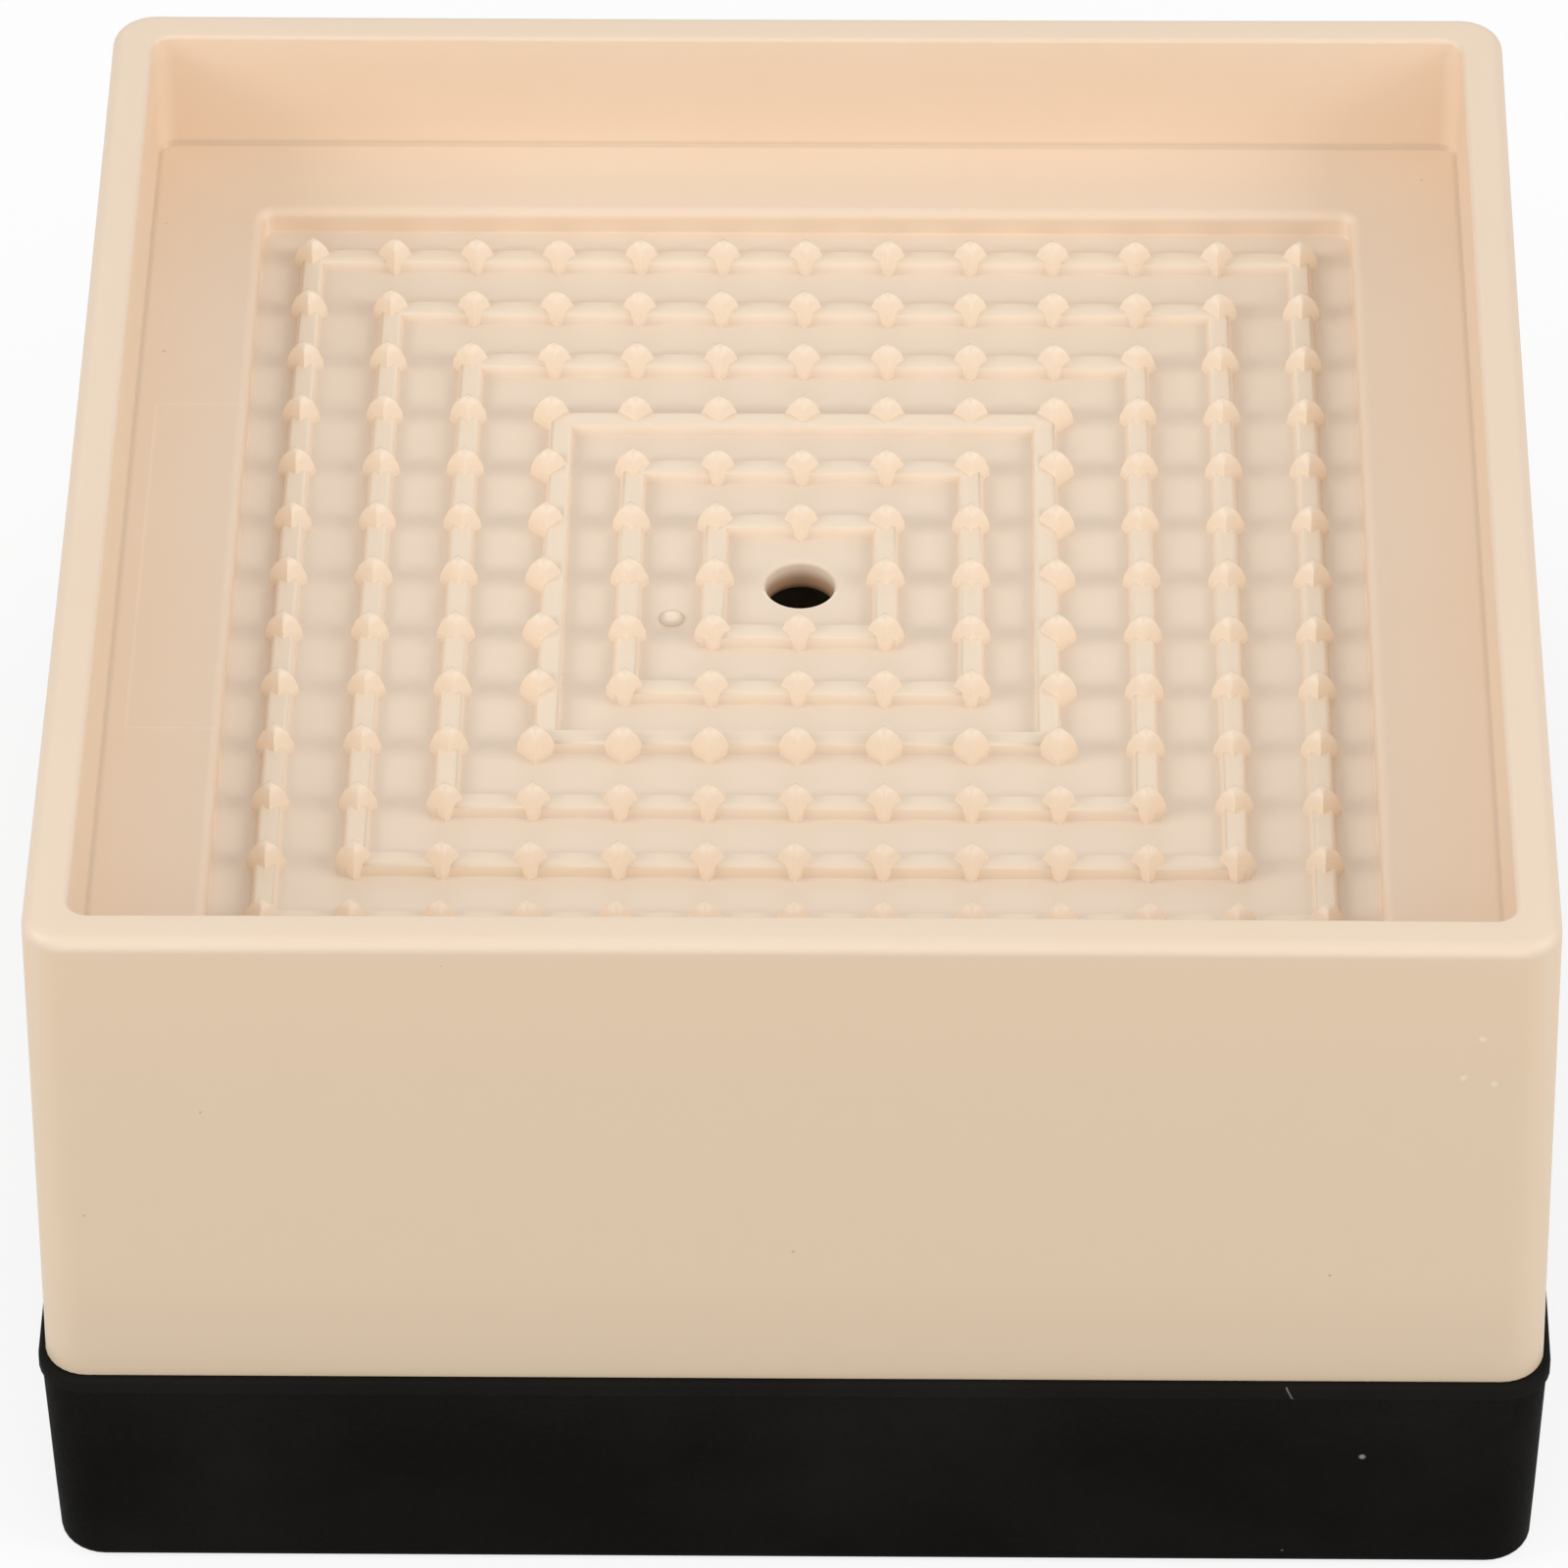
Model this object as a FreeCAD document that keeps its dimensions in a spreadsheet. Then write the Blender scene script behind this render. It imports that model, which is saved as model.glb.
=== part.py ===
import FreeCAD, Part
import os
import Sketcher

# A square bed riser: a moulded plastic body with a recessed, studded grip floor,
# pressed into a black rubber foot. Millimetres, +Z up, origin under the centre of
# the foot on the ground. The front of the riser is its -Y side.

# The driving dimensions, each written once: name, value, what it sets.
SIZES = [
    ("total_height", 56.5, "ground to the top of the rim"),
    ("top_width", 100.0, "outside width of the body at the rim"),
    ("seam_width", 100.9, "outside width of the body where it meets the foot"),
    ("corner_radius", 3.0, "upright outer corners of the body"),
    ("wall", 2.95, "thickness of the rim and of the body wall"),
    ("inner_corner", 1.4, "upright inner corners of the recess and of the hollow"),
    ("recess_depth", 9.7, "rim down to the ledge"),
    ("pocket_width", 78.2, "width of the grip pocket inside the ledge"),
    ("pocket_depth", 1.9, "ledge down to the grip floor"),
    ("pocket_corner", 0.9, "upright corners of the grip pocket"),
    ("deck_thickness", 2.3, "thickness of the grip floor"),
    ("rim_band", 1.5, "height of the upright band at the rim, above the drafted wall"),
    ("rim_outer_round", 0.95, "rounding of the rim's outer edge"),
    ("rim_inner_round", 0.35, "rounding of the rim's inner edge"),
    ("ledge_round", 0.75, "rounding of the ledge where it drops to the grip floor"),
    ("stud_pitch", 5.9, "spacing of the studs both ways"),
    ("studs_per_side", 13, "studs along one side of the outermost ring, an odd number"),
    ("stud_base", 2.9, "corner to corner across the root of a stud"),
    ("stud_shoulder", 2.45, "corner to corner across the shoulder of a stud"),
    ("shoulder_height", 1.5, "grip floor to the shoulder of a stud"),
    ("stud_tip", 0.95, "corner to corner across the blunt tip of a stud"),
    ("stud_height", 2.3, "grip floor to the tip of a stud"),
    ("root_depth", 0.2, "how far studs and ring ribs reach into the floor that carries them"),
    ("rib_foot", 1.45, "width of a ring rib at the floor"),
    ("rib_crest", 0.95, "width of a ring rib at its top"),
    ("rib_height", 0.9, "height of a ring rib"),
    ("offset_ring", 4, "the ring, counted from outside, whose rib runs inside its studs"),
    ("ring_offset", 0.7, "how far that rib runs inside the line of its studs"),
    ("hole_width", 4.8, "diameter of the round hole in the middle"),
    ("hole_round", 0.35, "rounding of the hole's upper edge"),
    ("gate_width", 1.6, "diameter of the moulding gate's mark"),
    ("gate_height", 0.25, "height of the moulding gate's mark"),
    ("gate_left", 9.0, "gate mark, distance to the left of the hole"),
    ("gate_forward", 3.5, "gate mark, distance in front of the hole"),
    ("stiffener", 2.2, "thickness of the ribs under the deck"),
    ("stiffener_spacing", 34.0, "distance between the ribs under the deck"),
    ("stiffeners_each_way", 2, "ribs under the deck, each way"),
    ("foot_height", 17.6, "ground to the seam between foot and body"),
    ("foot_base_width", 100.6, "outside width of the foot on the ground"),
    ("foot_top_width", 101.5, "outside width of the foot under its lip"),
    ("foot_corner", 3.2, "upright outer corners of the foot"),
    ("lip_width", 101.9, "outside width of the foot's lip"),
    ("lip_height", 1.2, "height of the foot's lip"),
    ("lip_round", 0.35, "rounding of the lip's upper edge"),
    ("base_band", 1.2, "height of the foot's upright band at the ground"),
    ("base_round", 0.8, "rounding of the foot's lower edge"),
    ("foot_wall", 1.95, "thickness of the foot's wall at the lip"),
    ("sole", 4.0, "thickness of the foot's sole"),
    ("seat_gap", 0.15, "gap between the body's skirt and the foot's wall"),
    ("tread_groove", 1.6, "width of a groove in the tread"),
    ("tread_depth", 1.0, "depth of a groove in the tread"),
    ("tread_pitch", 8.0, "distance from one tread groove to the next"),
    ("tread_rings", 5, "square grooves in the tread"),
    ("tread_first", 9.0, "middle of the foot to the first groove"),
]

value = {name: number for name, number, note in SIZES}

doc = FreeCAD.newDocument("bed_riser")
sheet = doc.addObject("Spreadsheet::Sheet", "sizes")
for row, (name, number, note) in enumerate(SIZES, start=1):
    sheet.set("A%d" % row, name)
    sheet.set("B%d" % row, str(number))
    sheet.set("C%d" % row, note)
    sheet.setAlias("B%d" % row, name)
doc.recompute()

# Levels and widths that follow from the driving dimensions.
FLOOR = "(sizes.total_height - sizes.recess_depth - sizes.pocket_depth)"
LEDGE = "(sizes.total_height - sizes.recess_depth)"
RECESS_WIDTH = "(sizes.top_width - 2 * sizes.wall)"
CAVITY_WIDTH = "(sizes.lip_width - 2 * sizes.foot_wall)"
GRID_SPAN = "((sizes.studs_per_side - 1) * sizes.stud_pitch)"

floor_level = value["total_height"] - value["recess_depth"] - value["pocket_depth"]
ledge_level = value["total_height"] - value["recess_depth"]
recess_width = value["top_width"] - 2 * value["wall"]
cavity_width = value["lip_width"] - 2 * value["foot_wall"]
ring_count = (value["studs_per_side"] - 1) // 2


def vector(x, y, z=0.0):
    return FreeCAD.Vector(x, y, z)


def origin_plane(body, role):
    """The body's own XY, XZ or YZ plane."""
    return [item for item in body.Origin.OriginFeatures if item.Role == role][0]


def new_body(name):
    body = doc.addObject("PartDesign::Body", name)
    body.Label = name
    return body


def new_sketch(body, name, level="0", role="XY_Plane"):
    """A sketch on one of the body's planes, raised to a level given as an expression."""
    sketch = body.newObject("Sketcher::SketchObject", name)
    sketch.AttachmentSupport = [(origin_plane(body, role), "")]
    sketch.MapMode = "FlatFace"
    if level != "0":
        sketch.setExpression("AttachmentOffset.Base.z", level)
    return sketch


def add_square(sketch, width_now, width, label="width"):
    """A square with sharp corners about the sketch's origin."""
    half = width_now / 2
    corners = [vector(-half, -half), vector(half, -half), vector(half, half), vector(-half, half)]
    first = sketch.GeometryCount
    for i in range(4):
        sketch.addGeometry(Part.LineSegment(corners[i], corners[(i + 1) % 4]), False)
    for i in range(4):
        sketch.addConstraint(Sketcher.Constraint("Coincident", first + i, 2, first + (i + 1) % 4, 1))
        kind = "Horizontal" if i % 2 == 0 else "Vertical"
        sketch.addConstraint(Sketcher.Constraint(kind, first + i))
    sketch.addConstraint(Sketcher.Constraint("Equal", first, first + 1))
    sketch.addConstraint(Sketcher.Constraint("Symmetric", first, 1, first + 2, 1, -1, 1))
    index = sketch.addConstraint(Sketcher.Constraint("Distance", first, width_now))
    sketch.renameConstraint(index, label)
    sketch.setExpression("Constraints." + label, width)


def add_rounded_square(sketch, width_now, radius_now, width, radius, label=""):
    """A square with round corners about the sketch's origin."""
    half = width_now / 2
    flat = half - radius_now
    first = sketch.GeometryCount
    quarter = 1.5707963267948966
    sides = [
        (vector(-flat, -half), vector(flat, -half)),
        (vector(half, -flat), vector(half, flat)),
        (vector(flat, half), vector(-flat, half)),
        (vector(-half, flat), vector(-half, -flat)),
    ]
    centres = [vector(flat, -flat), vector(flat, flat), vector(-flat, flat), vector(-flat, -flat)]
    for i in range(4):
        sketch.addGeometry(Part.LineSegment(*sides[i]), False)
        circle = Part.Circle(centres[i], vector(0, 0, 1), radius_now)
        sketch.addGeometry(Part.ArcOfCircle(circle, (i - 1) * quarter, i * quarter), False)
    for i in range(4):
        side = first + 2 * i
        arc = side + 1
        following = first + (2 * i + 2) % 8
        sketch.addConstraint(Sketcher.Constraint("Tangent", side, 2, arc, 1))
        sketch.addConstraint(Sketcher.Constraint("Tangent", arc, 2, following, 1))
        kind = "Horizontal" if i % 2 == 0 else "Vertical"
        sketch.addConstraint(Sketcher.Constraint(kind, side))
        if i > 0:
            sketch.addConstraint(Sketcher.Constraint("Equal", first + 1, arc))
    sketch.addConstraint(Sketcher.Constraint("Equal", first, first + 2))
    sketch.addConstraint(Sketcher.Constraint("Symmetric", first + 1, 3, first + 5, 3, -1, 1))
    index = sketch.addConstraint(Sketcher.Constraint("DistanceX", first + 6, 1, first + 2, 1, width_now))
    sketch.renameConstraint(index, label + "width")
    sketch.setExpression("Constraints." + label + "width", width)
    index = sketch.addConstraint(Sketcher.Constraint("Radius", first + 1, radius_now))
    sketch.renameConstraint(index, label + "radius")
    sketch.setExpression("Constraints." + label + "radius", radius)


def rounded_sketch(body, name, level, width_now, radius_now, width, radius):
    sketch = new_sketch(body, name, level)
    add_rounded_square(sketch, width_now, radius_now, width, radius)
    return sketch


def add_pad(body, name, sketch, length, downwards=False):
    pad = body.newObject("PartDesign::Pad", name)
    pad.Profile = sketch
    pad.setExpression("Length", length)
    pad.Reversed = downwards
    return pad


def add_pocket(body, name, sketch, length=None, upwards=False):
    """A cut down from the sketch to a depth, or right through when no length is given."""
    pocket = body.newObject("PartDesign::Pocket", name)
    pocket.Profile = sketch
    if length is None:
        pocket.Type = "ThroughAll"
    else:
        pocket.setExpression("Length", length)
    pocket.Reversed = upwards
    return pocket


def add_loft(body, name, lower, *upper):
    """A form with straight flanks from one sketch up through the others."""
    loft = body.newObject("PartDesign::AdditiveLoft", name)
    loft.Profile = lower
    loft.Sections = list(upper)
    loft.Ruled = True
    return loft


def edges_around(shape, level, width):
    """Names of the edges that lie at a level on a square outline of a given width."""
    names = []
    for number, edge in enumerate(shape.Edges, start=1):
        box = edge.BoundBox
        reach = max(abs(box.XMin), abs(box.XMax), abs(box.YMin), abs(box.YMax))
        flat = abs(box.ZMin - level) < 0.01 and abs(box.ZMax - level) < 0.01
        if flat and abs(reach - width / 2) < 0.02:
            names.append("Edge%d" % number)
    return names


def round_edges(body, name, base, groups, radius):
    """A fillet on the edges around each level and width in groups."""
    doc.recompute()
    names = []
    for level, width in groups:
        names += edges_around(base.Shape, level, width)
    if not names:
        raise RuntimeError("no edges found for " + name)
    fillet = body.newObject("PartDesign::Fillet", name)
    fillet.Base = (base, names)
    fillet.setExpression("Radius", radius)
    return fillet


def build_body_shell():
    """The moulded body's walls, deck, recess and hollow underside."""
    body = new_body("riser_body")
    seam = rounded_sketch(body, "seam_outline", "sizes.foot_height", value["seam_width"],
                          value["corner_radius"], "sizes.seam_width", "sizes.corner_radius")
    top = rounded_sketch(body, "rim_outline", "sizes.total_height - sizes.rim_band", value["top_width"],
                         value["corner_radius"], "sizes.top_width", "sizes.corner_radius")
    add_loft(body, "outer_form", seam, top)
    add_pad(body, "rim_band", top, "sizes.rim_band")

    # The skirt goes down inside the foot and stands on its sole.
    skirt_now = cavity_width - 2 * value["seat_gap"]
    skirt_width = CAVITY_WIDTH + " - 2 * sizes.seat_gap"
    skirt = rounded_sketch(body, "skirt_outline", "sizes.foot_height", skirt_now,
                           value["corner_radius"], skirt_width, "sizes.corner_radius")
    add_pad(body, "skirt", skirt, "sizes.foot_height - sizes.sole", downwards=True)

    deck_underside = FLOOR + " - sizes.deck_thickness"
    hollow = rounded_sketch(body, "hollow_outline", deck_underside, recess_width,
                            value["inner_corner"], RECESS_WIDTH, "sizes.inner_corner")
    add_pocket(body, "hollow", hollow)

    recess = rounded_sketch(body, "recess_outline", "sizes.total_height", recess_width,
                            value["inner_corner"], RECESS_WIDTH, "sizes.inner_corner")
    add_pocket(body, "recess", recess, "sizes.recess_depth")

    pocket = rounded_sketch(body, "pocket_outline", LEDGE, value["pocket_width"],
                            value["pocket_corner"], "sizes.pocket_width", "sizes.pocket_corner")
    base = add_pocket(body, "grip_pocket", pocket, "sizes.pocket_depth")

    base = round_edges(body, "rim_outer_edge", base,
                       [(value["total_height"], value["top_width"])], "sizes.rim_outer_round")
    base = round_edges(body, "rim_inner_edge", base,
                       [(value["total_height"], recess_width)], "sizes.rim_inner_round")
    round_edges(body, "ledge_edge", base,
                [(ledge_level, value["pocket_width"])], "sizes.ledge_round")
    return body


def add_stiffeners(body):
    """Ribs under the deck, crossing both ways and standing on the foot's sole."""
    rib_length = "(" + RECESS_WIDTH + " + sizes.wall / 2)"
    rib_place = "(sizes.stiffeners_each_way - 1) * sizes.stiffener_spacing / 2"
    half_length = (recess_width + value["wall"] / 2) / 2
    half_thick = value["stiffener"] / 2
    place_now = (value["stiffeners_each_way"] - 1) * value["stiffener_spacing"] / 2
    outline = [
        (-half_length, -place_now - half_thick),
        (half_length, -place_now - half_thick),
        (half_length, -place_now + half_thick),
        (-half_length, -place_now + half_thick),
    ]
    for name, along_x in (("stiffeners_across", True), ("stiffeners_along", False)):
        sketch = new_sketch(body, name + "_outline", "sizes.sole")
        points = [vector(u, v) if along_x else vector(v, u) for u, v in outline]
        kinds = ("Horizontal", "Vertical") if along_x else ("Vertical", "Horizontal")
        for i in range(4):
            sketch.addGeometry(Part.LineSegment(points[i], points[(i + 1) % 4]), False)
            sketch.addConstraint(Sketcher.Constraint(kinds[i % 2], i))
        for i in range(4):
            sketch.addConstraint(Sketcher.Constraint("Coincident", i, 2, (i + 1) % 4, 1))
        far = "DistanceX" if along_x else "DistanceY"
        near = "DistanceY" if along_x else "DistanceX"
        named = [
            (far, (0, 1, 0, 2), 2 * half_length, rib_length, "length"),
            (near, (0, 1, 3, 1), 2 * half_thick, "sizes.stiffener", "thickness"),
            (far, (0, 1, -1, 1), half_length, rib_length + " / 2", "reach"),
            (near, (0, 1, -1, 1), place_now + half_thick,
             rib_place + " + sizes.stiffener / 2", "place"),
        ]
        for kind, ends, number, expression, label in named:
            index = sketch.addConstraint(Sketcher.Constraint(kind, *ends, number))
            sketch.renameConstraint(index, label)
            sketch.setExpression("Constraints." + label, expression)
        height = FLOOR + " - sizes.deck_thickness / 2 - sizes.sole"
        rib = add_pad(body, name, sketch, height)
        pattern = body.newObject("PartDesign::LinearPattern", name + "_row")
        pattern.Originals = [rib]
        pattern.Direction = (origin_plane(body, "XZ_Plane" if along_x else "YZ_Plane"), [""])
        pattern.Reversed = along_x
        pattern.setExpression("Length", "(sizes.stiffeners_each_way - 1) * sizes.stiffener_spacing")
        pattern.setExpression("Occurrences", "sizes.stiffeners_each_way")
        body.Tip = pattern


def add_ring_ribs(body):
    """Concentric square ribs, one through the studs of each ring."""
    for ring in range(1, ring_count + 1):
        from_outside = ring_count + 1 - ring
        inside_now = value["ring_offset"] if from_outside == value["offset_ring"] else 0.0
        inside = "sizes.ring_offset" if inside_now else "0"
        line_now = ring * value["stud_pitch"] - inside_now
        line = "(%d * sizes.stud_pitch - %s)" % (ring, inside)
        path = new_sketch(body, "ring_%d_path" % ring, FLOOR)
        add_square(path, 2 * line_now, "2 * " + line)

        profile = new_sketch(body, "ring_%d_section" % ring, "0", "XZ_Plane")
        low = floor_level - value["root_depth"]
        high = floor_level + value["rib_height"]
        foot = value["rib_foot"] / 2
        crest = value["rib_crest"] / 2
        points = [
            vector(line_now - foot, low),
            vector(line_now + foot, low),
            vector(line_now + foot, floor_level),
            vector(line_now + crest, high),
            vector(line_now - crest, high),
            vector(line_now - foot, floor_level),
        ]
        count = len(points)
        for i in range(count):
            profile.addGeometry(Part.LineSegment(points[i], points[(i + 1) % count]), False)
        for i in range(count):
            profile.addConstraint(Sketcher.Constraint("Coincident", i, 2, (i + 1) % count, 1))
        for side in (0, 3):
            profile.addConstraint(Sketcher.Constraint("Horizontal", side))
        for side in (1, 5):
            profile.addConstraint(Sketcher.Constraint("Vertical", side))
        named = [
            ("DistanceX", (-1, 1, 0, 1), line_now - foot, line + " - sizes.rib_foot / 2", "inner_foot"),
            ("DistanceX", (-1, 1, 1, 1), line_now + foot, line + " + sizes.rib_foot / 2", "outer_foot"),
            ("DistanceX", (-1, 1, 4, 1), line_now - crest, line + " - sizes.rib_crest / 2", "inner_crest"),
            ("DistanceX", (-1, 1, 3, 1), line_now + crest, line + " + sizes.rib_crest / 2", "outer_crest"),
            ("DistanceY", (-1, 1, 0, 1), low, FLOOR + " - sizes.root_depth", "root"),
            ("DistanceY", (-1, 1, 2, 1), floor_level, FLOOR, "floor_outside"),
            ("DistanceY", (-1, 1, 5, 1), floor_level, FLOOR, "floor_inside"),
            ("DistanceY", (-1, 1, 3, 1), high, FLOOR + " + sizes.rib_height", "crest"),
        ]
        for kind, ends, number, expression, label in named:
            index = profile.addConstraint(Sketcher.Constraint(kind, *ends, number))
            profile.renameConstraint(index, label)
            profile.setExpression("Constraints." + label, expression)
        rib = body.newObject("PartDesign::AdditivePipe", "ring_%d_rib" % ring)
        rib.Profile = profile
        rib.Spine = (path, ["Edge1", "Edge2", "Edge3", "Edge4"])
        rib.Transition = "Right corner"


def add_studs(body):
    """Blunt four-cornered studs at every crossing of the grid, corners along X and Y."""
    stages = [
        ("stud_flanks", "-sizes.root_depth", "stud_base", "sizes.shoulder_height", "stud_shoulder"),
        ("stud_crown", "sizes.shoulder_height", "stud_shoulder", "sizes.stud_height", "stud_tip"),
    ]
    # A wedge grows along its own Y, so Y is stood upright and the square turned by an eighth.
    upright = FreeCAD.Rotation(45, 0, 90)
    parts = []
    for name, low, low_across, high, high_across in stages:
        wedge = body.newObject("PartDesign::AdditiveWedge", name)
        wedge.AttachmentSupport = [(origin_plane(body, "XY_Plane"), "")]
        wedge.MapMode = "FlatFace"
        wedge.AttachmentOffset = FreeCAD.Placement(vector(0, 0), upright)
        for axis in ("x", "y"):
            wedge.setExpression("AttachmentOffset.Base." + axis, "-" + GRID_SPAN + " / 2")
        wedge.setExpression("AttachmentOffset.Base.z", FLOOR)
        wedge.setExpression("Ymin", low)
        wedge.setExpression("Ymax", high)
        for prefix, across in (("", low_across), ("2", high_across)):
            reach = "sizes.%s / sqrt(2) / 2" % across
            for axis in ("X", "Z"):
                wedge.setExpression(axis + prefix + "min", "-" + reach)
                wedge.setExpression(axis + prefix + "max", reach)
        wedge.Refine = False
        parts.append(wedge)
    grid = body.newObject("PartDesign::MultiTransform", "stud_grid")
    grid.Originals = parts
    grid.Refine = False
    steps = []
    for name, role, backwards in (("stud_rows", "YZ_Plane", False), ("stud_columns", "XZ_Plane", True)):
        step = body.newObject("PartDesign::LinearPattern", name)
        step.Direction = (origin_plane(body, role), [""])
        step.Reversed = backwards
        step.setExpression("Length", GRID_SPAN)
        step.setExpression("Occurrences", "sizes.studs_per_side")
        steps.append(step)
    grid.Transformations = steps
    body.Tip = grid


def add_circle(sketch, width_now, width, centre_now=(0.0, 0.0), centre=None):
    """A circle about the sketch's origin, or at a place given as two expressions."""
    circle = Part.Circle(vector(*centre_now), vector(0, 0, 1), width_now / 2)
    index = sketch.addGeometry(circle, False)
    number = sketch.addConstraint(Sketcher.Constraint("Diameter", index, width_now))
    sketch.renameConstraint(number, "width")
    sketch.setExpression("Constraints.width", width)
    if centre is None:
        sketch.addConstraint(Sketcher.Constraint("Coincident", index, 3, -1, 1))
        return
    for kind, label, place_now, place in (("DistanceX", "left", centre_now[0], centre[0]),
                                          ("DistanceY", "forward", centre_now[1], centre[1])):
        number = sketch.addConstraint(Sketcher.Constraint(kind, index, 3, -1, 1, -place_now))
        sketch.renameConstraint(number, label)
        sketch.setExpression("Constraints." + label, place)


def add_gate_mark(body):
    """The raised mark of the moulding gate, on the grip floor beside the hole."""
    gate = new_sketch(body, "gate_outline", FLOOR)
    add_circle(gate, value["gate_width"], "sizes.gate_width",
               (-value["gate_left"], -value["gate_forward"]), ("sizes.gate_left", "sizes.gate_forward"))
    add_pad(body, "gate_mark", gate, "sizes.gate_height")


def add_centre_hole(body):
    """The round hole through the deck. It starts above the studs, to take the middle one away."""
    hole = new_sketch(body, "hole_outline", FLOOR + " + 2 * sizes.stud_height")
    add_circle(hole, value["hole_width"], "sizes.hole_width")
    base = add_pocket(body, "centre_hole", hole)
    base.Refine = False
    edge = round_edges(body, "hole_edge", base, [(floor_level, value["hole_width"])], "sizes.hole_round")
    edge.Refine = False


def build_riser_body():
    body = build_body_shell()
    add_stiffeners(body)
    add_ring_ribs(body)
    add_gate_mark(body)
    add_studs(body)
    add_centre_hole(body)
    return body


def build_rubber_foot():
    """A rubber foot with a rounded lip, a wall round the body's skirt and a grooved sole."""
    body = new_body("rubber_foot")
    lip_underside = "sizes.foot_height - sizes.lip_height"
    ground = rounded_sketch(body, "ground_outline", "sizes.base_band", value["foot_base_width"],
                            value["foot_corner"], "sizes.foot_base_width", "sizes.foot_corner")
    add_pad(body, "base_band", ground, "sizes.base_band", downwards=True)
    upper = rounded_sketch(body, "wall_outline", lip_underside, value["foot_top_width"],
                           value["foot_corner"], "sizes.foot_top_width", "sizes.foot_corner")
    add_loft(body, "foot_form", ground, upper)
    lip = rounded_sketch(body, "lip_outline", lip_underside, value["lip_width"],
                         value["foot_corner"], "sizes.lip_width", "sizes.foot_corner")
    add_pad(body, "lip", lip, "sizes.lip_height")
    cavity = rounded_sketch(body, "cavity_outline", "sizes.foot_height", cavity_width,
                            value["corner_radius"], CAVITY_WIDTH, "sizes.corner_radius")
    base = add_pocket(body, "cavity", cavity, "sizes.foot_height - sizes.sole")
    base = round_edges(body, "lip_edge", base,
                       [(value["foot_height"], value["lip_width"])], "sizes.lip_round")
    round_edges(body, "ground_edge", base, [(0.0, value["foot_base_width"])], "sizes.base_round")

    tread = new_sketch(body, "tread_outline")
    groove = value["tread_groove"]
    for ring in range(value["tread_rings"]):
        line_now = value["tread_first"] + ring * value["tread_pitch"]
        line = "(sizes.tread_first + %d * sizes.tread_pitch)" % ring
        add_square(tread, 2 * line_now - groove, "2 * %s - sizes.tread_groove" % line,
                   "inside_%d" % ring)
        add_square(tread, 2 * line_now + groove, "2 * %s + sizes.tread_groove" % line,
                   "outside_%d" % ring)
    add_pocket(body, "tread", tread, "sizes.tread_depth", upwards=True)
    return body


def check_document(bodies):
    """Stop before anything is written if a feature failed or a piece is not one sound solid."""
    doc.recompute()
    for item in doc.Objects:
        if "Invalid" in item.State or "Error" in item.State:
            raise RuntimeError("%s failed: %s" % (item.Name, item.State))
    for body in bodies:
        shape = body.Shape
        if shape.isNull() or not shape.isValid() or len(shape.Solids) != 1:
            raise RuntimeError(body.Label + " is not one valid solid")


def main():
    bodies = [build_riser_body(), build_rubber_foot()]
    check_document(bodies)
    os.makedirs("parts", exist_ok=True)
    for body in bodies:
        body.Shape.exportStep("parts/" + body.Label + ".step")


main()
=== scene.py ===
"""Bed riser: a beige moulded body with a studded grip floor, set in a black rubber foot."""

import math

import bmesh
import bpy
from bpy.props import FloatProperty, FloatVectorProperty, IntProperty, PointerProperty
from mathutils import Matrix, Vector


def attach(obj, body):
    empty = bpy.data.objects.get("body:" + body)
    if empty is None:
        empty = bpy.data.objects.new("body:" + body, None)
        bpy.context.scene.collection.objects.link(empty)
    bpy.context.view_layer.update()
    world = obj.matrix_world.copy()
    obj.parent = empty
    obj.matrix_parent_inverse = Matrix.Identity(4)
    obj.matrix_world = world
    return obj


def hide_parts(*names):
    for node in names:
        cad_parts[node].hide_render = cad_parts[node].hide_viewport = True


bl_info = {
    "name": "Bed riser",
    "version": (1, 0, 0),
    "blender": (4, 5, 0),
    "location": "View3D > Sidebar > Bed riser",
    "description": "Builds a studded bed riser with a rubber foot, and a plain stage for it",
    "category": "Object",
}

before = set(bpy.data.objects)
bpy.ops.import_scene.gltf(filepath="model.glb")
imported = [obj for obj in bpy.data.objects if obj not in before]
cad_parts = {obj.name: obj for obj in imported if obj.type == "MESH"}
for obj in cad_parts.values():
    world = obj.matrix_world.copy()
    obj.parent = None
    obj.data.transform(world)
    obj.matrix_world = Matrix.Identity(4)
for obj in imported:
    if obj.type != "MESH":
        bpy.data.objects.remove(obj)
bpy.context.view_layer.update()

MM = 0.001
BODY_NODE = "riser_body"
FOOT_NODE = "rubber_foot"
MOULDING = "beige_moulding"
RUBBER = "black_rubber"


# Settings


def millimetres(name, description, default, high=200.0):
    """A length property, held in metres and given here in millimetres."""
    return FloatProperty(name=name, description=description, default=default * MM, min=0.0,
                         max=high * MM, unit="LENGTH", subtype="DISTANCE", precision=5)


def number(name, description, default, low, high):
    """A property without a unit."""
    return FloatProperty(name=name, description=description, default=default, min=low, max=high)


def whole(name, description, default, low, high):
    """A property that counts."""
    return IntProperty(name=name, description=description, default=default, min=low, max=high)


def watts(name, description, default):
    """The power of a lamp."""
    return FloatProperty(name=name, description=description, default=default, min=0.0, unit="POWER")


def shade(name, description, default):
    """A colour property, given as display values from 0 to 255."""
    linear = []
    for channel in default:
        level = channel / 255
        linear.append(level / 12.92 if level <= 0.04045 else ((level + 0.055) / 1.055) ** 2.4)
    return FloatVectorProperty(name=name, description=description, default=linear, size=3,
                               min=0.0, max=1.0, subtype="COLOR")


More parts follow.
